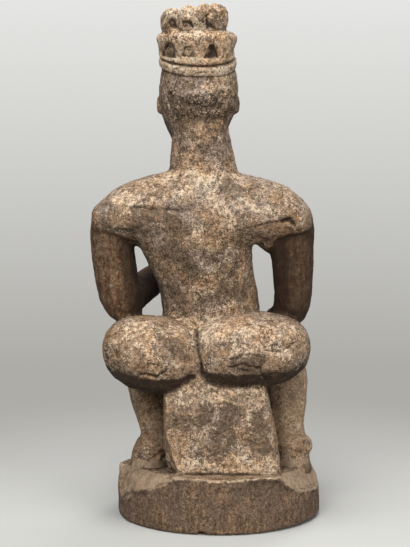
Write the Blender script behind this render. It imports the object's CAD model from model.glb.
import math
from types import SimpleNamespace

import bpy
import numpy as np
from mathutils.bvhtree import BVHTree
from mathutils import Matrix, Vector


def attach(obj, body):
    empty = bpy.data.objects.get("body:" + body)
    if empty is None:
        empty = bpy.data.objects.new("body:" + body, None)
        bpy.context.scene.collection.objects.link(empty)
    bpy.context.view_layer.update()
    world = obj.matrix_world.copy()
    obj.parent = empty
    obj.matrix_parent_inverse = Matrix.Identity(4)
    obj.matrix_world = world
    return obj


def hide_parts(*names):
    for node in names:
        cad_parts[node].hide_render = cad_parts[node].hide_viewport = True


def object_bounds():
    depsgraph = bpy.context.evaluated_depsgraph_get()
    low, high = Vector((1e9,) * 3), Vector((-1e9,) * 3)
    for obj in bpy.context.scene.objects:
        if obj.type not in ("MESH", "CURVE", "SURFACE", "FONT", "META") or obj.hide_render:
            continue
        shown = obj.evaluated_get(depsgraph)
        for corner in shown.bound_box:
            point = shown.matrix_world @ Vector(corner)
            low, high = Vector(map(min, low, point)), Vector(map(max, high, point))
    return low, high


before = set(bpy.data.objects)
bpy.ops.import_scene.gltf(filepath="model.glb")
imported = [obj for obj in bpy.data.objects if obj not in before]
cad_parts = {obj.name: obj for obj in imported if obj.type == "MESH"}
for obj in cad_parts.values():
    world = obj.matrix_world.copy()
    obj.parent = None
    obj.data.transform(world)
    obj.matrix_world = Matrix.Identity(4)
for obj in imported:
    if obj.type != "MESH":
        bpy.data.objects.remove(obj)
cad_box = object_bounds()

# Places on the carving are in its own measure, in millimetres: x to the figure's left, y to its back, z up
MEASURE_SHIFT = np.array([22.01, -3.58, -3.0])
METRE = 1000.0

VOXEL = 0.0019
MOST_TRIANGLES = 196_000
FACET_PASSES = 24
SKY_RAYS = 14
SKY_REACH = 0.16
SKY_START = 0.0015
# A turn of the noise's grid, so that its cells don't lie along the figure's own directions
GRAIN_TURN = np.array([[0.36, 0.48, -0.8], [-0.8, 0.6, 0.0], [0.48, 0.64, 0.6]])

# Relief in millimetres: how deep each kind of unevenness is, and how large its lumps are
FACET_DEPTH, FACET_SIZE = 1.5, 34
WEAR_DEPTH, WEAR_SIZE = 0.9, 60
CRUST_DEPTH, CRUST_SIZE = 0.62, 10
GRAIN_DEPTH, GRAIN_SIZE = 0.38, 5
WALL_DEPTH, WALL_SIZE = 0.5, 6
PLATE_DEPTH, PLATE_SIZE = 1.1, 17
CRACK_DEPTH, CRACK_HALF_WIDTH = 2.2, 2.0
CREASE_DEPTH, CREASE_HALF_WIDTH = 3.5, 4
EDGE_STEP, EDGE_REACH = 1.1, 4

CAP_TILT = math.radians(13.6)
CAP_MIDDLE = (35.6, -2.0, 750.0)
HEAD_TURN = math.radians(6)
HEAD_MIDDLE = (33.8, -4.0, 686.0)
BODY_MIDDLE = 30
BASE_TOP = 90
BLOCK_TOP = 250
SEAT_CREASE_BOTTOM = 190

# Stretches of height or width, each as four values: the part starts, is whole, starts to end, has ended
BLOCK_SIDES = (-116, -108, 92, 100)
BUTTOCK_HEIGHTS = (205, 225, 330, 350)
ARM_HEIGHTS = (318, 330, 478, 520)
BACK_HEIGHTS = (335, 350, 480, 510)
SHOULDER_HEIGHTS = (500, 520, 560, 590)
NAPE_HEIGHTS = (560, 572, 577, 586)
HEAD_BACK_HEIGHTS = (655, 668, 698, 712)
# Soft edges: where a part or a change starts, and where it is whole
BLOCK_FRONT = (-70, -64)
HEAD_BOTTOM = (596, 612)
HEAD_MIDWAY = (700, 712)
FACE_FRONT = (30, 48)
TOES_FRONT = (44, 60)
TOES_TOP = (108, 118)
# How far from its middle line a part is still whole, and where it has ended
SHIN_REACH = (42, 48)
ARM_REACH = (42, 50)
HAND_REACH = (26, 36)
EAR_REACH = (16, 24)

# Middle lines of the hands, arms and shins, by which these are told from the rest
LEFT_HAND = [(78, -97, 403), (34, -86, 424), (-14, -67, 438)]
RIGHT_HAND = [(-116, -108, 328), (-112, -150, 308), (-110, -166, 268)]
LEFT_ARM = [(179, 8, 510), (180, 8, 476), (172, 9, 400), (152, -4, 342), (132, -52, 373), (60, -92, 414)]
RIGHT_ARM = [(-119, 8, 510), (-121, 8, 480), (-124, 8, 402), (-117, 0, 337)]
RIGHT_ARM += [(-120, -50, 339), (-115, -118, 325)]
LEFT_SHIN = [(124, -116, 250), (118, -70, 170), (112, -48, 125), (116, -42, 90)]
RIGHT_SHIN = [(-112, -112, 250), (-118, -70, 170), (-117, -48, 130), (-124, -42, 90)]


def smoothstep(low, high, value):
    share = np.clip((value - low) / (high - low), 0, 1)
    return share * share * (3 - 2 * share)


def within(stretch, value):
    """1 in the middle of a stretch and 0 outside it, with a soft edge at each end."""
    start, whole, last, end = stretch
    return smoothstep(start, whole, value) * (1 - smoothstep(last, end, value))


def hashed(cells, seed):
    """A repeatable number from 0 to 1 for each whole-number cell."""
    mixed = cells[:, 0] * 73856093 + cells[:, 1] * 19349663 + cells[:, 2] * 83492791 + seed * 7919
    mixed = ((mixed ^ (mixed >> 13)) * 1274126177) & 0x7FFFFFFF
    mixed = ((mixed ^ (mixed >> 15)) * 461845907) & 0x7FFFFFFF
    return (mixed ^ (mixed >> 16)) / 0x7FFFFFFF


def noise(points, size, seed=0, octaves=1):
    """Smooth noise of about -1 to 1 with lumps of that size. Each octave is half as big and strong."""
    total = np.zeros(len(points))
    weight = 1.0
    for octave in range(octaves):
        place = points @ GRAIN_TURN / size + 17.3 * (seed + octave)
        cell = np.floor(place).astype(np.int64)
        part = place - cell
        part = part * part * (3 - 2 * part)
        value = np.zeros(len(points))
        for corner in np.ndindex(2, 2, 2):
            share = np.ones(len(points))
            for axis in range(3):
                share *= part[:, axis] if corner[axis] else 1 - part[:, axis]
            value += share * hashed(cell + np.array(corner), seed + octave)
        total += weight * (2 * value - 1)
        weight /= 2
        size /= 2
    return total


def pushed(points, places, amount, size, seeds, octaves=2):
    """The places shifted by a smooth noise, with one seed for each of their dimensions."""
    return places + amount * np.stack([noise(points, size, seed, octaves) for seed in seeds], axis=1)


def scattered_cells(points, size, seed=0):
    """Distance to the nearest scattered spot, how much farther the next is, and the spot's own number."""
    place = points / size
    cell = np.floor(place).astype(np.int64)
    nearest = np.full(len(points), 9.0)
    second = nearest.copy()
    owner = np.zeros(len(points))
    for step in np.ndindex(3, 3, 3):
        there = cell + np.array(step) - 1
        spot = there + np.stack([hashed(there, seed + axis) for axis in range(3)], axis=1)
        distance = np.sqrt(((place - spot) ** 2).sum(axis=1))
        closer = distance < nearest
        second = np.where(closer, nearest, np.minimum(second, distance))
        owner = np.where(closer, hashed(there, seed + 3), owner)
        nearest = np.where(closer, distance, nearest)
    return nearest, second - nearest, owner


def reach(points, path):
    """Distance from each point to a path of straight stretches, in as many dimensions as the path has."""
    best = np.full(len(points), np.inf)
    for start, end in zip(path, path[1:]):
        start = np.array(start, float)
        along = np.array(end, float) - start
        share = np.clip((points - start) @ along / (along @ along), 0, 1)
        off = points - start - share[:, None] * along
        best = np.minimum(best, np.sqrt((off * off).sum(axis=1)))
    return best


def near(points, middle, radii):
    """1 at the middle of a spot and 0 outside it, with a soft edge."""
    off = (points - np.array(middle, float)) / np.array(radii, float)
    return 1 - smoothstep(0.35, 1.0, np.sqrt((off * off).sum(axis=1)))


class Net:
    """A mesh's points in the carving's own measure, with what smoothing and relief need to know of it."""

    def __init__(self, mesh):
        self.mesh = mesh
        self.edges = np.empty(len(mesh.edges) * 2, np.int32)
        mesh.edges.foreach_get("vertices", self.edges)
        self.edges = self.edges.reshape(-1, 2)
        self.counts = np.maximum(np.bincount(self.edges.ravel(), minlength=len(mesh.vertices)), 1)
        co = np.empty(len(mesh.vertices) * 3, np.float32)
        mesh.vertices.foreach_get("co", co)
        self.points = co.reshape(-1, 3).astype(float) * METRE + MEASURE_SHIFT

    def write(self):
        places = (self.points - MEASURE_SHIFT) / METRE
        self.mesh.vertices.foreach_set("co", places.astype(np.float32).ravel())
        self.mesh.update()

    def normals(self):
        self.write()
        values = np.empty(len(self.mesh.vertices) * 3, np.float32)
        self.mesh.vertex_normals.foreach_get("vector", values)
        return values.reshape(-1, 3).astype(float)

    def mean_of_neighbours(self, values):
        first, second = self.edges[:, 0], self.edges[:, 1]
        columns = values.reshape(len(values), -1)
        result = np.empty_like(columns)
        for axis in range(columns.shape[1]):
            column = np.ascontiguousarray(columns[:, axis])
            total = np.bincount(first, column[second], len(column))
            total += np.bincount(second, column[first], len(column))
            result[:, axis] = total / self.counts
        return result.reshape(values.shape)

    def smoothed(self, values, passes, weight=1.0):
        if np.ndim(weight) and values.ndim == 2:
            weight = weight[:, None]
        for _ in range(passes):
            values = values + 0.5 * weight * (self.mean_of_neighbours(values) - values)
        return values

    def hollowness(self, passes):
        """How far below its surroundings each point lies, in mm."""
        return ((self.smoothed(self.points, passes) - self.points) * self.normals()).sum(axis=1)


def zones(points):
    """How far each point belongs to each part of the figure, from 0 to 1."""
    x, y, z = points.T
    from_cap = points - np.array(CAP_MIDDLE)
    backward = from_cap[:, 1] * math.cos(HEAD_TURN) - from_cap[:, 0] * math.sin(HEAD_TURN)
    cap_height = from_cap[:, 2] * math.cos(CAP_TILT) + backward * math.sin(CAP_TILT)
    from_head = points - np.array(HEAD_MIDDLE)
    turned_x = from_head[:, 0] * math.cos(HEAD_TURN) + from_head[:, 1] * math.sin(HEAD_TURN)
    turned_y = from_head[:, 1] * math.cos(HEAD_TURN) - from_head[:, 0] * math.sin(HEAD_TURN)
    from_ear = np.hypot(turned_y + 8, from_head[:, 2]) + 2 * np.maximum(58 - np.abs(turned_x), 0)
    head = smoothstep(*HEAD_BOTTOM, z) * (1 - smoothstep(-4, 0, cap_height))
    shins = np.minimum(reach(points, LEFT_SHIN), reach(points, RIGHT_SHIN))
    arms = np.minimum(reach(points, LEFT_ARM), reach(points, RIGHT_ARM))
    hands = np.minimum(reach(points, LEFT_HAND), reach(points, RIGHT_HAND))
    base = 1 - smoothstep(BASE_TOP - 2, BASE_TOP + 3, z)
    block = (1 - base) * (1 - smoothstep(BLOCK_TOP, BLOCK_TOP + 12, z)) * smoothstep(43, 50, shins)
    block = block * smoothstep(*BLOCK_FRONT, y) * within(BLOCK_SIDES, x)
    return {
        "base": base,
        "block": block,
        "shins": (1 - smoothstep(*SHIN_REACH, shins)) * (1 - base),
        "arms": (1 - smoothstep(*ARM_REACH, arms)) * within(ARM_HEIGHTS, z),
        "hands": 1 - smoothstep(*HAND_REACH, hands),
        "toes": smoothstep(*TOES_FRONT, -y) * (1 - smoothstep(*TOES_TOP, z)) * (1 - base),
        "face": head * smoothstep(*FACE_FRONT, -turned_y),
        "ears": 1 - smoothstep(*EAR_REACH, from_ear),
        "head": head,
        "cap": smoothstep(-3, 0, cap_height),
        "cap_height": cap_height,
    }


def finely_carved(zone):
    """Where the carving is too small to be rounded off, from 0 to 1."""
    return np.maximum.reduce([zone[name] for name in ("hands", "toes", "face", "ears", "cap")])


def even_out(net):
    """Rounds off the facets of the limbs and masses, but not hollows, edges and small carving."""
    zone = zones(net.points)
    crease = smoothstep(0.35, 1.4, net.hollowness(10))
    crease = np.clip(2.5 * net.smoothed(crease, 10), 0, 1)
    crease *= 1 - near(net.points[:, [0, 2]], CLEFT_TOP, (26, 22)) * (net.points[:, 1] > 0)
    fine = finely_carved(zone)
    kept = np.maximum.reduce([zone["base"], zone["block"], fine])
    soft = (1 - 0.93 * kept) * (1 - 0.85 * crease)
    net.points = net.smoothed(net.points, FACET_PASSES, soft)
    net.points = net.smoothed(net.points, 4, 1 - 0.75 * fine)


def groove(flat, behind, path, half_width):
    """Closeness to a line drawn on the back, from 0 to 1."""
    return behind * np.exp(-((reach(flat, path) / half_width) ** 2))


def step_below(flat, behind, path, half_height):
    """Above the line the surface stands out and below it falls back, fading with the distance."""
    distance = reach(flat, path)
    line_x = [spot[0] for spot in path]
    line_z = [spot[1] for spot in path]
    above = flat[:, 1] - np.interp(flat[:, 0], line_x, line_z)
    sideways = smoothstep(line_x[0] - 3, line_x[0] + 9, flat[:, 0])
    sideways *= 1 - smoothstep(line_x[-1] - 9, line_x[-1] + 3, flat[:, 0])
    side = np.sign(above) * smoothstep(0, 2, np.abs(above))
    return behind * sideways * side * np.exp(-distance / half_height)


# Marks on the back, as x and z, each path from the lowest x to the highest where the surface steps at it.
# Steps: path, how far the upper side stands out, how far the step reaches
STEPS = [
    ([(48, 519), (89, 521), (113, 522), (142, 525)], 1.8, 13),
    ([(137, 487), (155, 485), (173, 486), (191, 492), (199, 499)], 1.6, 9),
    ([(-117, 506), (-107, 501), (-79, 498), (-55, 491), (-38, 488)], 1.9, 13),
    ([(-76, 282), (-59, 288), (-38, 288), (-14, 281)], 1.8, 8),
    ([(-69, 267), (-43, 262), (-23, 267)], 1.2, 6),
]
# The edge between the top of the base and its wall
WALL_EDGE = [
    (-164, 47),
    (-138, 54),
    (-115, 62),
    (-105, 73),
    (-95, 82),
    (-82, 86),
    (-33, 89),
    (31, 89),
    (67, 86),
    (97, 76),
    (130, 57),
    (157, 39),
    (166, 28),
]
# The creases where the seat meets the block, the cleft above them and the gash on the right blade
LEFT_SEAT_CREASE = [(45, 246), (59, 238), (74, 225), (89, 220), (110, 220), (130, 225), (149, 233)]
RIGHT_SEAT_CREASE = [(-81, 243), (-68, 238), (-41, 232), (-17, 231), (6, 235), (19, 241), (27, 250)]
CLEFT = [(37, 318), (36, 299), (33, 282), (30, 271), (28, 250)]
CLEFT_TOP = (38, 338)
CLEFT_MIDDLE = (32, 292)
GASH = [(-103, 499), (-115, 502), (-122, 493)]
# Grooves: path, depth, half width
GROOVES = [
    ([(156, 483), (146, 473), (134, 456)], 3.0, 4.0),
    ([(-79, 466), (-60, 469), (-51, 474)], 2.4, 4.0),
    (GASH, 6.0, 3.6),
    (CLEFT, 2.6, 3.0),
    ([(120, 92), (95, 102)], 2.2, 2.2),
    ([(118, 101), (99, 110)], 2.2, 2.2),
    ([(-104, 108), (-117, 110), (-128, 105), (-138, 103), (-150, 95)], 2.6, 2.4),
]
# Fine cracks, drawn with a wandering line
CRACKS = [
    [(-14, 264), (-38, 270), (-62, 264), (-68, 250), (-78, 240)],
    [(-34, 234), (-46, 226), (-62, 228), (-78, 234)],
    [(-75, 293), (-92, 291), (-108, 295), (-126, 305)],
    [(-79, 301), (-98, 300)],
    [(84, 262), (104, 250), (128, 252)],
    [(96, 90), (86, 95), (75, 83)],
    [(64, 700), (61, 690), (43, 684), (33, 692), (25, 682), (9, 684), (-1, 698)],
    [(46, 696), (52, 684), (44, 676)],
]
# Hollows of the headdress: their corners, counter-clockwise with x to the right, and depth
CAP_HOLLOWS = [
    ([(72, 764), (97, 766), (96, 775), (84, 788), (74, 782)], 5.0),
    ([(39, 764), (64, 764), (58, 781), (46, 781)], 2.6),
    ([(1, 764), (25, 764), (16, 783), (9, 783)], 3.8),
    ([(69, 811), (83, 811), (83, 821), (77, 827), (71, 822)], 4.0),
    ([(41, 812), (57, 812), (59, 821), (43, 821)], 3.5),
    ([(7, 810), (21, 810), (22, 818), (9, 818)], 3.5),
    ([(18, 816), (23, 816), (24, 832), (18, 834)], 3.0),
]
# Round bosses, and holes: place, the two radii, height
KNOBS = [
    ((52, 827), (9, 7), 3.2),
    ((14, 826), (6, 10), 2.8),
    ((92, 812), (8, 14), 1.6),
    ((1, 803), (7, 6), 2.4),
    ((-10, 824), (8, 14), 1.6),
    ((81, 706), (5, 5), -3.5),
    ((-7, 708), (4, 4), -2.0),
]
# Width of the slope at a hollow's edge, and the middle of the pale patch on the back of the head
HOLLOW_RIM = 3
HEAD_PATCH = (20, 715)

# Lines on the back along which the dark grey or the pale clay has settled, each with how wide it spreads
SOOT_MARKS = [
    ([(-16, 201), (-17, 179), (-8, 156), (-4, 126), (-10, 102)], 17),
    ([(19, 208), (18, 184)], 9),
    ([(84, 179), (56, 174), (24, 176)], 13),
    ([(-64, 200), (-64, 179)], 7),
    ([(-58, 160), (-72, 126)], 13),
    ([(8, 440), (-6, 428)], 15),
    ([(54, 430), (46, 412)], 14),
    ([(-8, 384), (4, 366)], 17),
    ([(78, 376), (62, 362)], 15),
    ([(136, 510), (120, 506), (128, 488)], 15),
    ([(104, 508), (86, 500), (62, 486)], 12),
    ([(66, 690), (36, 682), (-2, 692)], 7),
    ([(56, 664), (16, 662)], 7),
    ([(77, 474), (87, 451), (58, 438)], 11),
    ([(68, 368), (55, 352), (32, 358)], 12),
    ([(-14, 438), (-24, 421)], 11),
    ([(-11, 385), (-34, 375)], 13),
    ([(70, 560), (40, 556)], 10),
    ([(-14, 550), (-43, 544)], 13),
    ([(96, 318), (70, 306), (62, 286)], 12),
    ([(-16, 312), (-30, 300)], 12),
    ([(-30, 279), (-60, 275)], 11),
    ([(-30, 262), (-74, 256)], 9),
    ([(64, 656), (54, 658), (38, 656)], 6),
    ([(-33, 80), (-57, 67), (-85, 73)], 15),
]
CLAY_MARKS = [
    ([(86, 210), (40, 222), (-70, 212)], 17),
    ([(2, 214), (2, 194)], 6),
    ([(-50, 204), (-50, 182)], 7),
    ([(70, 108), (32, 97), (7, 93), (-80, 95)], 15),
    ([(-40, 127), (-27, 113), (-31, 93)], 14),
    ([(170, 536), (120, 532), (60, 540), (20, 566)], 9),
    ([(22, 557), (12, 540), (-4, 518), (-20, 498)], 11),
    ([(-30, 524), (-90, 512)], 8),
    ([(36, 484), (34, 476)], 8),
    ([(28, 430), (24, 424)], 7),
    ([(150, 326), (96, 332), (20, 320), (-60, 324), (-110, 316)], 15),
    ([(136, 300), (110, 284), (104, 262)], 12),
    ([(-20, 296), (-70, 300), (-108, 286)], 11),
    ([(-14, 68), (-16, 76)], 4),
    ([(6, 84), (4, 78)], 3),
]


def settled(flat, marks, edge):
    """How thickly something lies along its marks, thinning out over the given share of their width."""
    layers = [1 - smoothstep(1 - edge, 1 + edge, reach(flat, path) / width) for path, width in marks]
    return np.maximum.reduce(layers)


def crusted(zone):
    """Where the thick granular crust lies: on the body, head and block, less on the limbs and base."""
    bare = np.maximum.reduce([zone["arms"], 0.5 * zone["shins"], 0.8 * zone["base"], zone["hands"]])
    return np.clip(1 - 0.8 * bare, 0, 1)


def cracked(points, zone):
    """Where the crust has broken into plates: the buttocks, the back of the head and the block's foot."""
    y, z = points[:, 1], points[:, 2]
    buttocks = within(BUTTOCK_HEIGHTS, z) * smoothstep(-10, 30, y) * (1 - zone["arms"])
    head_back = within(HEAD_BACK_HEIGHTS, z) * smoothstep(10, 40, y) * zone["head"]
    foot = zone["block"] * (1 - smoothstep(98, 116, z))
    broken = smoothstep(-0.2, 0.5, noise(points, 46, 31))
    return np.clip(buttocks * (0.35 + 0.65 * broken) + head_back + 0.8 * foot, 0, 1)


def inside(flat, corners, rim):
    """1 within the corners, which run counter-clockwise, and 0 outside, with a slope of that width."""
    depth = np.full(len(flat), np.inf)
    for start, end in zip(corners, corners[1:] + corners[:1]):
        along = np.subtract(end, start) / math.dist(start, end)
        depth = np.minimum(depth, (flat - start) @ np.array([-along[1], along[0]]))
    return smoothstep(-rim / 2, rim / 2, depth)


def band_edges(zone):
    """The band stands out a little from the head, with a fine groove under it and another above it."""
    height = zone["cap_height"]
    band = smoothstep(-1, 0.5, height) * (1 - smoothstep(12, 13.5, height))
    under = np.exp(-(((height + 2.4) / 1.5) ** 2))
    over = np.exp(-(((height - 15) / 1.5) ** 2))
    return 0.7 * band - 1.7 * under - 1.5 * over


def facing_back(points, normals):
    """1 where the carving faces its back, and 0 on the front and on level ledges."""
    behind = smoothstep(0.05, 0.4, normals[:, 1]) * smoothstep(-40, 0, points[:, 1])
    return behind * (1 - smoothstep(0.85, 0.97, normals[:, 2]))


def worked_surface(points, warped, crust, wall, small):
    """Height of the adze facets, the wear and the crust's grain, lower where the carving is small."""
    facet, _, _ = scattered_cells(warped / np.array([1, 1, 1.5]), FACET_SIZE, 3)
    height = FACET_DEPTH * (facet**2 - 0.3) * (1 - 0.8 * small)
    height += WEAR_DEPTH * noise(points, WEAR_SIZE, 7, 2) * (1 - 0.7 * small)
    height += CRUST_DEPTH * crust * noise(points, CRUST_SIZE, 11, 3) * (1 - 0.5 * small)
    height += GRAIN_DEPTH * noise(points, GRAIN_SIZE, 15, 2) * (1 - 0.8 * small)
    height += WALL_DEPTH * wall * noise(points * np.array([1, 1, 0.16]), WALL_SIZE, 17, 2)
    return height


def broken_plates(points, warped, plates):
    """Height of the crust's plates, each at a level of its own, with cracks between some of them."""
    _, rim, owner = scattered_cells(warped, PLATE_SIZE, 5)
    opening = smoothstep(-0.5, 0.6, noise(points, 12, 33, 2))
    crack = plates * opening * (1 - smoothstep(0.0, 0.09, rim))
    return plates * PLATE_DEPTH * (owner - 0.5) - PLATE_DEPTH * crack


def placed_marks(points, zone, behind):
    """Height of the steps, grooves, cracks, creases, hollows and bosses that lie in one place."""
    flat = points[:, [0, 2]]
    wander = pushed(points, flat, 3, 9, (51, 52))
    edge_wander = flat + 0.4 * (wander - flat)
    height = np.zeros(len(points))
    for path, amount, half_height in STEPS:
        height += amount * step_below(flat, behind, path, half_height)
    for path, depth, half_width in GROOVES:
        height -= depth * groove(flat, behind, path, half_width)
    for path in CRACKS:
        height -= CRACK_DEPTH * groove(wander, behind, path, CRACK_HALF_WIDTH)
    height += EDGE_STEP * step_below(edge_wander, behind * zone["base"], WALL_EDGE, EDGE_REACH)
    at_seat = behind * (points[:, 2] > SEAT_CREASE_BOTTOM)
    for path in (RIGHT_SEAT_CREASE, LEFT_SEAT_CREASE):
        height -= CREASE_DEPTH * groove(flat, at_seat, path, CREASE_HALF_WIDTH)
    for corners, depth in CAP_HOLLOWS:
        height -= depth * behind * inside(edge_wander, corners, HOLLOW_RIM)
    for place, radii, amount in KNOBS:
        height += amount * behind * near(flat, place, radii)
    return height + band_edges(zone)


def carve_relief(net):
    """Moves the net's points out and in by the relief, which leaves the underside flat."""
    normals = net.normals()
    points = net.points
    zone = zones(points)
    behind = facing_back(points, normals)
    small = np.maximum.reduce([zone["face"], zone["hands"], zone["ears"], 0.6 * zone["cap"], zone["toes"]])
    under = zone["base"] * smoothstep(0.5, 0.8, -normals[:, 2])
    wall = zone["base"] * (1 - smoothstep(0.2, 0.45, np.abs(normals[:, 2])))
    warped = pushed(points, points, 5, 22, (41, 42, 43))

    height = worked_surface(points, warped, crusted(zone), wall, small)
    height += broken_plates(points, warped, cracked(points, zone))
    height += placed_marks(points, zone, behind)
    height *= 1 - 0.9 * under
    net.points = points + height[:, None] * normals


def kept_in_box(net):
    """Holds the points within the solid's own box, so that the look is no larger than the part."""
    low, high = (np.array(corner) * METRE + MEASURE_SHIFT for corner in cad_box)
    net.points = np.clip(net.points, low, high)
    net.write()


def baked(piece):
    """Works the piece's modifiers into its mesh."""
    shown = piece.evaluated_get(bpy.context.evaluated_depsgraph_get())
    mesh = bpy.data.meshes.new_from_object(shown)
    piece.modifiers.clear()
    piece.data = mesh
    return mesh


def carving():
    """The solid as a fine net, rounded, worked and thinned to the triangles it may have."""
    piece = bpy.data.objects.new("weathered_figure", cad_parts["figure"].data.copy())
    bpy.context.scene.collection.objects.link(piece)
    remesh = piece.modifiers.new("remesh", "REMESH")
    remesh.mode = "VOXEL"
    remesh.voxel_size = VOXEL
    net = Net(baked(piece))
    even_out(net)
    carve_relief(net)
    net.write()
    triangles = sum(len(polygon.vertices) - 2 for polygon in net.mesh.polygons)
    thin = piece.modifiers.new("thin", "DECIMATE")
    thin.ratio = min(1.0, MOST_TRIANGLES / triangles)
    mesh = baked(piece)
    kept_in_box(Net(mesh))
    mesh.shade_smooth()
    print("carving:", triangles, "triangles, thinned to", len(mesh.polygons))
    return piece


def hemisphere(count):
    """Directions spread evenly over the half sphere about Z, closer together toward its top."""
    directions = []
    for ray in range(count):
        rise = math.sqrt(1 - (ray + 0.5) / count)
        turn = ray * math.pi * (3 - math.sqrt(5))
        out = math.sqrt(1 - rise * rise)
        directions.append((out * math.cos(turn), out * math.sin(turn), rise))
    return directions


def openness(net, normals):
    """How much each point sees of its surroundings: 1 on an open face, toward 0 deep in a gap."""
    tree = BVHTree.FromPolygons(
        [vertex.co for vertex in net.mesh.vertices],
        [polygon.vertices for polygon in net.mesh.polygons],
    )
    sideways = np.cross(normals, (0.3, 0.5, 0.81))
    sideways /= np.linalg.norm(sideways, axis=1)[:, None] + 1e-9
    other = np.cross(normals, sideways)
    starts = (net.points - MEASURE_SHIFT) / METRE + SKY_START * normals
    origins = starts.tolist()
    seen = np.zeros(len(origins))
    for across, along, rise in hemisphere(SKY_RAYS):
        rays = (across * sideways + along * other + rise * normals).tolist()
        hits = (tree.ray_cast(start, ray, SKY_REACH)[3] for start, ray in zip(origins, rays))
        seen += [1.0 if distance is None else distance / SKY_REACH for distance in hits]
    return net.smoothed(seen / SKY_RAYS, 3)


def remember(mesh, name, values):
    """Keeps a number for each point where the material reads it."""
    attribute = mesh.attributes.new(name, "FLOAT", "POINT")
    attribute.data.foreach_set("value", np.clip(values, 0, 1).astype(np.float32))


class Survey:
    """What the dirt goes by at each point: where it is and faces, its part of the figure, and gaps."""

    def __init__(self, net):
        normals = net.normals()
        zone = zones(net.points)
        x, _, z = net.points.T
        self.points, self.zone, self.x, self.z = net.points, zone, x, z
        self.flat = net.points[:, [0, 2]]
        self.wander = pushed(net.points, self.flat, 7, 18, (61, 62), 3)
        self.behind = facing_back(net.points, normals)
        self.up = smoothstep(0.1, 0.9, normals[:, 2])
        self.down = smoothstep(0.0, 0.8, -normals[:, 2])
        self.inward = smoothstep(-0.1, 0.8, -np.sign(x - BODY_MIDDLE) * normals[:, 0])
        self.hollow = net.hollowness(6)
        self.gap = 1 - smoothstep(0.2, 0.75, openness(net, normals))
        self.wall = zone["base"] * (1 - smoothstep(0.2, 0.45, normals[:, 2]))
        self.hewn = zone["base"] * (1 - self.wall) * (1 - smoothstep(0.9, 0.96, normals[:, 2]))
        self.shoulders = within(SHOULDER_HEIGHTS, z)
        self.nape = within(NAPE_HEIGHTS, z) * (1 - smoothstep(50, 85, np.abs(x - BODY_MIDDLE)))
        self.head_low = zone["head"] * (1 - smoothstep(*HEAD_MIDWAY, z))
        self.right_arm = zone["arms"] * (x < BODY_MIDDLE)
        self.band = zone["cap"] * (1 - smoothstep(12, 15, zone["cap_height"]))
        self.beside_cleft = near(self.flat, CLEFT_MIDDLE, (26, 62)) * self.behind


def clay_on(at):
    """Pale clay: on the cap and nape, along its marks on the back, and a little on what faces up."""
    crown = smoothstep(50, 58, at.zone["cap_height"])
    ledge = np.exp(-(((at.zone["cap_height"] - 20) / 4.5) ** 2))
    clay = 0.06 + 0.14 * at.up + 0.14 * noise(at.points, 34, 21, 3)
    clay += 0.45 * at.nape + 0.03 * at.behind * at.shoulders
    clay += 0.5 * at.behind * settled(at.wander, CLAY_MARKS, 0.5)
    clay += at.zone["cap"] * (0.9 - 0.55 * crown + 0.1 * at.up + 0.35 * at.behind * ledge)
    clay += 0.16 * (1 - at.behind) * noise(at.points, 52, 37, 2)
    clay += 0.14 * at.zone["block"] * smoothstep(0, 0.6, noise(at.points, 40, 35, 2))
    clay += 0.22 * at.zone["block"] * at.behind * (1 - smoothstep(104, 132, at.z))
    clay += 0.5 * at.behind * near(at.flat, HEAD_PATCH, (21, 17))
    return clay - (0.25 * at.wall + 0.2 * at.zone["arms"] + 0.25 * at.down + 0.25 * at.head_low)


def dust_on(at):
    """Even dust: on the hewn faces and top of the base, the shins and the toes."""
    dust = at.hewn + 0.5 * at.zone["shins"] + 0.6 * at.zone["toes"] + 0.25 * noise(at.points, 40, 29, 3)
    return dust + 0.9 * at.zone["shins"] * (at.x < 0) + 0.35 * at.zone["base"] * at.up


def soot_on(at):
    """Dark grey: along its marks on the back, low on the head and in places on the base's wall."""
    soot = 0.10 + 0.22 * noise(at.points, 30, 23, 3)
    soot += 0.7 * at.behind * settled(at.wander, SOOT_MARKS, 0.3)
    soot += 0.35 * at.head_low + 0.2 * at.wall * (noise(at.points, 40, 25, 2) > 0)
    soot -= 0.4 * at.shoulders * np.clip(noise(at.points, 20, 27, 2), 0, 1)
    return soot - (0.5 * at.hewn + 0.25 * at.zone["cap"])


def grime_on(at):
    """Dark grime: in hollows, gaps and creases, under the masses and on the arms' inner sides."""
    arms, base = at.zone["arms"], at.zone["base"]
    lit = [0.75 * at.zone["cap"], 0.8 * at.zone["shins"], 0.6 * at.zone["toes"], 0.7 * at.beside_cleft]
    grime = 0.75 * smoothstep(0.15, 0.9, at.hollow) * (1 - 0.6 * at.beside_cleft)
    grime += 0.85 * at.gap * (1 - np.maximum.reduce(lit))
    under_seat = (1 - smoothstep(BLOCK_TOP, BLOCK_TOP + 50, at.z)) * (at.z > BLOCK_TOP - 50)
    grime += 0.3 * at.down + 1.1 * under_seat * at.down
    for corners, depth in CAP_HOLLOWS:
        grime += 0.06 * depth * at.behind * inside(at.flat, corners, HOLLOW_RIM)
    grime += 0.75 * arms * at.inward + 0.2 * arms + 0.5 * at.right_arm

    creases = np.minimum(reach(at.flat, RIGHT_SEAT_CREASE), reach(at.flat, LEFT_SEAT_CREASE))
    grime += at.behind * 0.75 * (1 - smoothstep(2, 9, creases)) * (at.z > SEAT_CREASE_BOTTOM)
    under_edge = smoothstep(0, 2, np.interp(at.x, *np.transpose(WALL_EDGE)) - at.z)
    under_edge *= 1 - smoothstep(2, 5, reach(at.wander, WALL_EDGE))
    grime += at.behind * 0.6 * base * under_edge
    grime += at.behind * 0.7 * (1 - smoothstep(1, 3.5, reach(at.flat, CLEFT)))
    return grime + at.behind * 0.9 * (1 - smoothstep(2, 5, reach(at.flat, GASH)))


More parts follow.
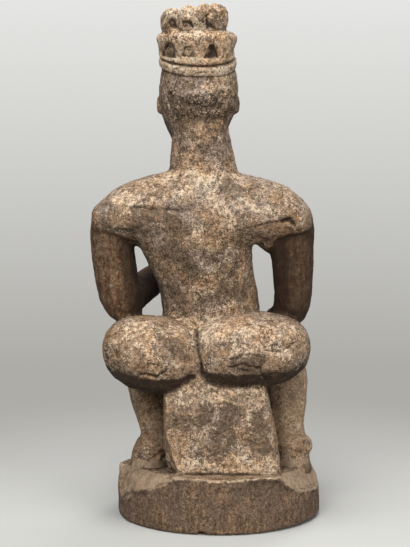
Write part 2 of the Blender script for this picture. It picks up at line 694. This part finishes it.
def grit_on(at):
    """How strong the fine grain is: most on the back, neck and head, least on the hewn faces."""
    back = within(BACK_HEIGHTS, at.z) * (1 - at.zone["arms"])
    gritty = 0.8 + 0.2 * np.maximum(back, smoothstep(575, 590, at.z))
    gritty -= 0.15 * at.zone["arms"] + 0.15 * at.right_arm + 0.5 * at.hewn
    return gritty - (0.25 * at.zone["shins"] + 0.05 * at.shoulders)


def warmth_of(at):
    """How much the colour leans to ochre: most on the cap and nape, not on the shoulders or band."""
    warm = 0.5 * (1 - at.shoulders) * (1 - at.hewn) * (1 - 0.6 * at.zone["head"]) * (1 - at.band)
    return warm + 0.3 * (at.zone["cap"] - at.band) + 0.5 * at.nape


def lay_dirt(piece):
    """Works out where everything on the wood lies, and keeps it where the material reads it."""
    at = Survey(Net(piece.data))
    crust = crusted(at.zone)
    cracks = cracked(at.points, at.zone) * (0.68 + 0.32 * at.zone["head"])
    marks = {
        "clay": clay_on(at),
        "dust": dust_on(at),
        "crust": crust,
        "soot": soot_on(at),
        "cracks": np.maximum(cracks, 0.5 * crust * (1 - at.zone["cap"])),
        "grime": grime_on(at),
        "gritty": grit_on(at),
        "wall": at.wall,
        "warm": warmth_of(at),
    }
    flecks = 0.45 + 0.3 * marks["clay"] - 0.45 * marks["soot"]
    marks["flecks"] = flecks - (1.5 * at.wall + 0.4 * at.hewn + 0.5 * at.zone["arms"])
    for name, values in marks.items():
        remember(piece.data, name, values)


class Painter:
    """Adds nodes to a material one by one, each linked or set as it is made."""

    def __init__(self, name):
        self.material = bpy.data.materials.new(name)
        self.material.use_nodes = True
        self.tree = self.material.node_tree
        self.shader = self.tree.nodes["Principled BSDF"]

    def plug(self, socket, value):
        if isinstance(value, bpy.types.NodeSocket):
            self.tree.links.new(value, socket)
        else:
            socket.default_value = value

    def node(self, kind, inputs, **settings):
        made = self.tree.nodes.new(kind)
        for name, value in settings.items():
            setattr(made, name, value)
        for name, value in inputs.items():
            self.plug(made.inputs[name], value)
        return made

    def position(self):
        return self.node("ShaderNodeTexCoord", {}).outputs["Object"]

    def stretched(self, position, scale, shift=(0, 0, 0)):
        inputs = {"Vector": position, "Scale": scale, "Location": shift}
        return self.node("ShaderNodeMapping", inputs).outputs["Vector"]

    def shifted(self, value, noise, amount):
        """The value moved up and down by a noise that swings about a half."""
        return self.math("ADD", value, self.math("MULTIPLY", self.math("SUBTRACT", noise, 0.5), amount))

    def attribute(self, name):
        return self.node("ShaderNodeAttribute", {}, attribute_name=name).outputs["Fac"]

    def noise(self, position, scale, detail=3.0, roughness=0.6, distortion=0.0):
        inputs = {"Vector": position, "Scale": scale, "Detail": detail, "Roughness": roughness}
        inputs["Distortion"] = distortion
        return self.node("ShaderNodeTexNoise", inputs).outputs["Fac"]

    def vector(self, operation, inputs):
        return self.node("ShaderNodeVectorMath", inputs, operation=operation).outputs[0]

    def warped(self, position, scale, amount):
        """The position pushed about by a noise, by up to about half the amount."""
        push = self.node("ShaderNodeTexNoise", {"Vector": position, "Scale": scale}).outputs["Color"]
        push = self.vector("SUBTRACT", {0: push, 1: (0.5, 0.5, 0.5)})
        return self.vector("ADD", {0: position, 1: self.scaled(push, amount)})

    def scaled(self, tint, factor):
        return self.vector("SCALE", {0: tint, "Scale": factor})

    def edges(self, position, scale):
        inputs = {"Vector": position, "Scale": scale}
        return self.node("ShaderNodeTexVoronoi", inputs, feature="DISTANCE_TO_EDGE").outputs["Distance"]

    def ramp(self, value, low, high, to_low=0.0, to_high=1.0):
        inputs = {"Value": value, "From Min": low, "From Max": high, "To Min": to_low, "To Max": to_high}
        made = self.node("ShaderNodeMapRange", inputs, interpolation_type="SMOOTHSTEP")
        return made.outputs["Result"]

    def math(self, operation, first, second):
        return self.node("ShaderNodeMath", {0: first, 1: second}, operation=operation).outputs["Value"]

    def blend(self, share, first, second, blend_type="MIX"):
        inputs = {0: share, 6: first, 7: second}
        return self.node("ShaderNodeMix", inputs, data_type="RGBA", blend_type=blend_type).outputs[2]


def colour(red, green, blue):
    """A screen colour, from 0 to 255, as the linear one that the shader takes."""
    channels = [value / 255 for value in (red, green, blue)]
    linear = [c / 12.92 if c <= 0.04045 else ((c + 0.055) / 1.055) ** 2.4 for c in channels]
    return (*linear, 1.0)


WOOD_DARK = colour(68, 46, 27)
WOOD_LIGHT = colour(114, 88, 64)
WOOD_GREYED = colour(118, 100, 82)
WOOD_CRUMBS = colour(140, 114, 86)
CRUST_GREY = colour(130, 114, 101)
CRUST_BROWN = colour(148, 120, 92)
CRUST_DARK = colour(102, 82, 62)
CRUST_CRUMBS = colour(164, 141, 117)
WALL_DARK = colour(90, 72, 57)
WALL_LIGHT = colour(120, 99, 79)
WALL_GREYED = colour(100, 84, 73)
WALL_CRUMBS = colour(140, 116, 90)
DUST_DARK = colour(140, 119, 97)
DUST_LIGHT = colour(162, 139, 114)
SOOT = colour(90, 77, 64)
CLAY_OCHRE_DARK = colour(168, 139, 108)
CLAY_OCHRE_LIGHT = colour(202, 174, 144)
CLAY_GREY_DARK = colour(162, 144, 122)
CLAY_GREY_LIGHT = colour(200, 180, 154)
WARM_TINT = colour(255, 238, 214)
PITS = colour(52, 35, 21)
FLECKS = colour(216, 196, 171)
GRIME = colour(35, 22, 12)
FISSURES = colour(34, 22, 12)
# What the figure's points keep for the material
MARKS = ("clay", "dust", "crust", "soot", "cracks", "grime", "gritty", "flecks", "wall", "warm")


def texture_noises(paint):
    """The noises that break up the layers, from patches some centimetres wide to grains under 5 mm."""
    place = paint.position()
    elsewhere = paint.stretched(place, (1, 1, 1), (0.7, 0.3, 0.5))
    return SimpleNamespace(
        place=place,
        broad=paint.noise(place, 24, 4),
        tints=paint.noise(elsewhere, 34, 3, 0.6),
        patches=paint.noise(place, 60, 6, 0.66),
        crumbs=paint.noise(elsewhere, 130, 5, 0.72),
        grit=paint.noise(place, 230, 3, 0.6, 1.2),
        specks=paint.noise(elsewhere, 240, 2, 0.5, 2.0),
        grain=paint.noise(paint.stretched(place, (170, 170, 26)), 1.0, 4, 0.6, 0.8),
    )


def bare_wood(paint, tone):
    wood = paint.blend(paint.ramp(tone.grain, 0.38, 0.62), WOOD_DARK, WOOD_LIGHT)
    wood = paint.blend(paint.ramp(tone.patches, 0.44, 0.6, 0.0, 0.6), wood, WOOD_GREYED)
    return paint.blend(paint.ramp(tone.crumbs, 0.5, 0.64, 0.0, 0.35), wood, WOOD_CRUMBS)


def grey_brown_crust(paint, tone):
    crusty = paint.blend(paint.ramp(tone.broad, 0.38, 0.62), CRUST_GREY, CRUST_BROWN)
    crusty = paint.blend(paint.ramp(tone.patches, 0.45, 0.57, 0.0, 0.6), crusty, CRUST_DARK)
    return paint.blend(paint.ramp(tone.crumbs, 0.5, 0.64, 0.0, 0.5), crusty, CRUST_CRUMBS)


def log_wall(paint, tone):
    walled = paint.blend(paint.ramp(tone.grain, 0.34, 0.66), WALL_DARK, WALL_LIGHT)
    walled = paint.blend(paint.ramp(tone.tints, 0.42, 0.6, 0.0, 0.8), walled, WALL_GREYED)
    return paint.blend(paint.ramp(tone.crumbs, 0.56, 0.66, 0.0, 0.5), walled, WALL_CRUMBS)


def with_dust(paint, tone, skin, dust):
    dusty = paint.blend(paint.ramp(tone.patches, 0.4, 0.6), DUST_DARK, DUST_LIGHT)
    share = paint.ramp(paint.shifted(dust, tone.patches, 1.6), 0.1, 0.9, 0.0, 0.85)
    return paint.blend(share, skin, dusty)


def with_soot(paint, tone, skin, soot):
    spread = paint.shifted(paint.shifted(soot, tone.patches, 1.8), tone.crumbs, 1.0)
    return paint.blend(paint.ramp(spread, 0.36, 0.66, 0.0, 0.7), skin, SOOT)


def with_clay(paint, tone, skin, clay):
    """Pale clay, ochre in some places and greyish in others."""
    pale = paint.ramp(tone.crumbs, 0.4, 0.62)
    ochre = paint.blend(pale, CLAY_OCHRE_DARK, CLAY_OCHRE_LIGHT)
    greyish = paint.blend(pale, CLAY_GREY_DARK, CLAY_GREY_LIGHT)
    clayey = paint.blend(paint.ramp(tone.tints, 0.4, 0.6), ochre, greyish)
    spread = paint.shifted(paint.shifted(clay, tone.patches, 1.2), tone.crumbs, 1.8)
    return paint.blend(paint.ramp(spread, 0.35, 0.8, 0.0, 0.85), skin, clayey)


def with_grain(paint, tone, skin, gritty):
    """Grains lighter and darker than the rest, with dark pits between them."""
    light_and_dark = paint.ramp(tone.grit, 0.34, 0.66, 0.4, 1.62)
    swing = paint.math("MULTIPLY", paint.math("SUBTRACT", light_and_dark, 1.0), gritty)
    skin = paint.scaled(skin, paint.math("ADD", 1.0, swing))
    pits = paint.ramp(paint.shifted(tone.specks, tone.crumbs, 0.8), 0.36, 0.43, 0.7, 0.0)
    return paint.blend(paint.math("MULTIPLY", pits, gritty), skin, PITS)


def with_flecks(paint, tone, skin, flecks, gritty):
    pale = paint.shifted(paint.shifted(tone.specks, tone.tints, 0.5), tone.crumbs, 0.35)
    pale = paint.math("ADD", pale, paint.math("MULTIPLY", flecks, 0.2))
    pale = paint.math("MULTIPLY", paint.ramp(pale, 0.68, 0.75, 0.0, 0.85), paint.ramp(flecks, 0.0, 0.15))
    return paint.blend(paint.math("MULTIPLY", pale, gritty), skin, FLECKS)


def fissures_in(paint, tone, cracks):
    """Fine dark lines between the crust's crumbs, broken off where the crust is whole."""
    lines = paint.ramp(paint.edges(paint.warped(tone.place, 60, 0.012), 105), 0.0, 0.08, 1.0, 0.0)
    return paint.math("MULTIPLY", lines, paint.ramp(paint.shifted(cracks, tone.patches, 1.4), 0.4, 0.9))


def finest_height(paint, tone, marks, fissures):
    """Height of the grains, crumbs and specks and of the wall's grain, with the fissures cut in."""
    rough = paint.math("ADD", tone.grit, paint.math("MULTIPLY", tone.crumbs, 1.2))
    rough = paint.math("ADD", rough, paint.math("MULTIPLY", tone.specks, 0.5))
    rough = paint.math("MULTIPLY", rough, marks["gritty"])
    walled = paint.math("MULTIPLY", tone.grain, marks["wall"])
    rough = paint.math("ADD", rough, paint.math("MULTIPLY", walled, 0.7))
    return paint.math("SUBTRACT", rough, fissures)


def weathered_wood():
    """Brown wood under a grey-brown crust, with what has settled on it, grime, fissures and flecks."""
    paint = Painter("weathered_wood")
    tone = texture_noises(paint)
    marks = {name: paint.attribute(name) for name in MARKS}

    covered = paint.ramp(paint.shifted(marks["crust"], tone.crumbs, 2.0), 0.3, 0.7)
    skin = paint.blend(covered, bare_wood(paint, tone), grey_brown_crust(paint, tone))
    skin = paint.blend(marks["wall"], skin, log_wall(paint, tone))
    skin = with_dust(paint, tone, skin, marks["dust"])
    skin = with_soot(paint, tone, skin, marks["soot"])
    skin = with_clay(paint, tone, skin, marks["clay"])
    warmth = paint.math("MULTIPLY", marks["warm"], 0.65)
    skin = paint.blend(warmth, skin, WARM_TINT, "MULTIPLY")
    skin = with_grain(paint, tone, skin, marks["gritty"])
    skin = with_flecks(paint, tone, skin, marks["flecks"], marks["gritty"])
    skin = paint.blend(paint.math("MULTIPLY", marks["grime"], 0.9), skin, GRIME)
    fissures = fissures_in(paint, tone, marks["cracks"])
    skin = paint.blend(paint.math("MULTIPLY", fissures, 0.8), skin, FISSURES)

    paint.plug(paint.shader.inputs["Base Color"], skin)
    paint.plug(paint.shader.inputs["Roughness"], paint.ramp(tone.patches, 0.3, 0.7, 0.82, 0.97))
    paint.shader.inputs["Specular IOR Level"].default_value = 0.25
    height = finest_height(paint, tone, marks, fissures)
    bump = paint.node("ShaderNodeBump", {"Strength": 0.9, "Distance": 0.0022, "Height": height})
    paint.plug(paint.shader.inputs["Normal"], bump.outputs["Normal"])
    return paint.material


# The camera: place in millimetres, pitch in degrees, focal length and height of the picture in pixels
CAMERA_PLACE = (23.5, 2900.0, 750.0)
CAMERA_PITCH = 6.8
CAMERA_FOCUS = 1740.0
PICTURE_HEIGHT = 547
SENSOR = 36.0
# The room's colours low and high, the rise of sight over which one goes into the other, and its own light
ROOM_LOW = colour(173, 172, 167)
ROOM_HIGH = colour(230, 230, 228)
ROOM_RISE = (-0.17, 0.04)
ROOM_LIGHT = colour(240, 242, 245)
ROOM_GLOW = 0.22
# The floor, in metres: it fades out over a stretch of its radius, and its colour changes from front to back
FLOOR_RADIUS = 2.4
FLOOR_FADE = (0.45, 1.1)
FLOOR_CHANGE = (-0.5, 0.3)
FLOOR_FRONT = colour(166, 165, 161)
FLOOR_BACK = colour(177, 177, 173)
# Large soft lamps, in metres from the figure's foot: name, place, size and watts
LAMPS = [
    ("lamp_main", (0.6, 2.3, 1.9), 1.9, 66),
    ("lamp_above", (0.2, 0.5, 2.9), 1.5, 60),
    ("lamp_right", (-1.7, 2.2, 1.0), 1.3, 31),
    ("lamp_front", (-0.9, -2.2, 1.9), 1.5, 38),
]
LAMP_AIM = (0, 0, 0.45)


def in_row(place):
    """A place in the carving's own measure as one in the row's frame, in metres."""
    return tuple((value - shift) / METRE for value, shift in zip(place, MEASURE_SHIFT))


def add_camera():
    data = bpy.data.cameras.new("camera")
    data.sensor_width = SENSOR
    data.lens = CAMERA_FOCUS / PICTURE_HEIGHT * SENSOR
    camera = bpy.data.objects.new("camera", data)
    camera.location = in_row(CAMERA_PLACE)
    camera.rotation_euler = (math.radians(90 - CAMERA_PITCH), 0, math.pi)
    bpy.context.scene.collection.objects.link(camera)
    bpy.context.scene.camera = camera


def add_light(name, place, aim, size, watts):
    data = bpy.data.lights.new(name, "AREA")
    data.shape = "DISK"
    data.size = size
    data.energy = watts
    light = bpy.data.objects.new(name, data)
    light.location = place
    direction = np.subtract(aim, place)
    yaw = math.atan2(direction[1], direction[0]) - math.pi / 2
    fall = math.atan2(-direction[2], math.hypot(direction[0], direction[1]))
    light.rotation_euler = (math.pi / 2 - fall, 0, yaw)
    bpy.context.scene.collection.objects.link(light)


def add_room():
    """A pale room, darker toward the floor, that lights the figure only softly."""
    world = bpy.data.worlds.new("room")
    bpy.context.scene.world = world
    world.use_nodes = True
    tree = world.node_tree
    seen = tree.nodes["Background"]
    direction = tree.nodes.new("ShaderNodeTexCoord")
    split = tree.nodes.new("ShaderNodeSeparateXYZ")
    tree.links.new(direction.outputs["Generated"], split.inputs[0])
    ramp = tree.nodes.new("ShaderNodeValToRGB")
    stops = ramp.color_ramp.elements
    stops[0].position = 0.0
    stops[0].color = ROOM_LOW
    stops[1].position = 1.0
    stops[1].color = ROOM_HIGH
    height = tree.nodes.new("ShaderNodeMapRange")
    height.inputs["From Min"].default_value = ROOM_RISE[0]
    height.inputs["From Max"].default_value = ROOM_RISE[1]
    tree.links.new(split.outputs["Z"], height.inputs["Value"])
    tree.links.new(height.outputs["Result"], ramp.inputs["Fac"])
    tree.links.new(ramp.outputs["Color"], seen.inputs["Color"])
    glow = tree.nodes.new("ShaderNodeBackground")
    glow.inputs["Color"].default_value = ROOM_LIGHT
    glow.inputs["Strength"].default_value = ROOM_GLOW
    ray = tree.nodes.new("ShaderNodeLightPath")
    either = tree.nodes.new("ShaderNodeMixShader")
    tree.links.new(ray.outputs["Is Camera Ray"], either.inputs[0])
    tree.links.new(glow.outputs[0], either.inputs[1])
    tree.links.new(seen.outputs[0], either.inputs[2])
    tree.links.new(either.outputs[0], tree.nodes["World Output"].inputs["Surface"])


def add_lamps():
    for name, place, size, watts in LAMPS:
        add_light(name, place, LAMP_AIM, size, watts)


def add_floor():
    bpy.ops.mesh.primitive_circle_add(vertices=96, radius=FLOOR_RADIUS, fill_type="NGON")
    floor = bpy.context.object
    floor.name = "floor"
    paint = Painter("floor")
    place = paint.position()
    away = paint.node("ShaderNodeVectorMath", {0: place}, operation="LENGTH").outputs["Value"]
    depth = paint.node("ShaderNodeSeparateXYZ", {0: place}).outputs["Y"]
    tone = paint.blend(paint.ramp(depth, *FLOOR_CHANGE), FLOOR_FRONT, FLOOR_BACK)
    paint.plug(paint.shader.inputs["Base Color"], tone)
    paint.shader.inputs["Roughness"].default_value = 0.9
    paint.plug(paint.shader.inputs["Alpha"], paint.ramp(away, *FLOOR_FADE, 1.0, 0.0))
    floor.data.materials.append(paint.material)


add_camera()
bpy.context.scene.view_settings.view_transform = "Standard"
add_room()
add_lamps()
add_floor()
figure = carving()
lay_dirt(figure)
figure.data.materials.clear()
figure.data.materials.append(weathered_wood())
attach(figure, "root")
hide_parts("figure")
